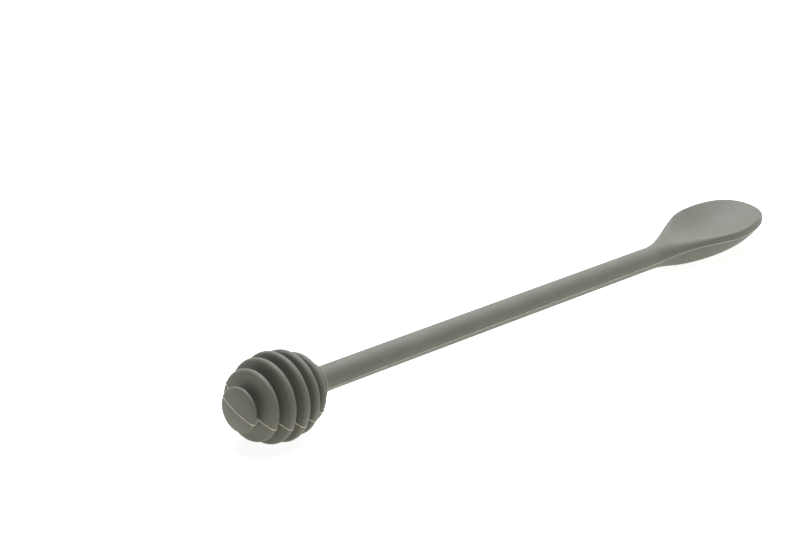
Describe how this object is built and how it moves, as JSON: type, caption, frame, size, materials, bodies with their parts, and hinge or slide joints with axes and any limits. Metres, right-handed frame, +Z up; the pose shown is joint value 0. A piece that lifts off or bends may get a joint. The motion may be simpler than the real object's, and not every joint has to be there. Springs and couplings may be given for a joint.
{
  "type": "honey dipper",
  "caption": "Silicone honey dipper: a ridged ball head at one end of a slim round handle and a shallow oval spoon at the other, moulded over a stiff core.",
  "frame": {"origin": "on the surface that the dipper lies on, below the middle of its bounding box", "axes": "+X from the ridged head towards the spoon, +Z up out of the spoon's hollow; the handle's axis lies in the XZ plane and slopes down by 2.1 degrees towards the spoon"},
  "size_m": [0.2908, 0.03, 0.03],
  "materials": {
    "silicone": "matte",
    "core": "matte"
  },
  "bodies": {
    "root": {"silicone_body": "silicone", "stiffening_core": "core"}
  },
  "joints": []
}
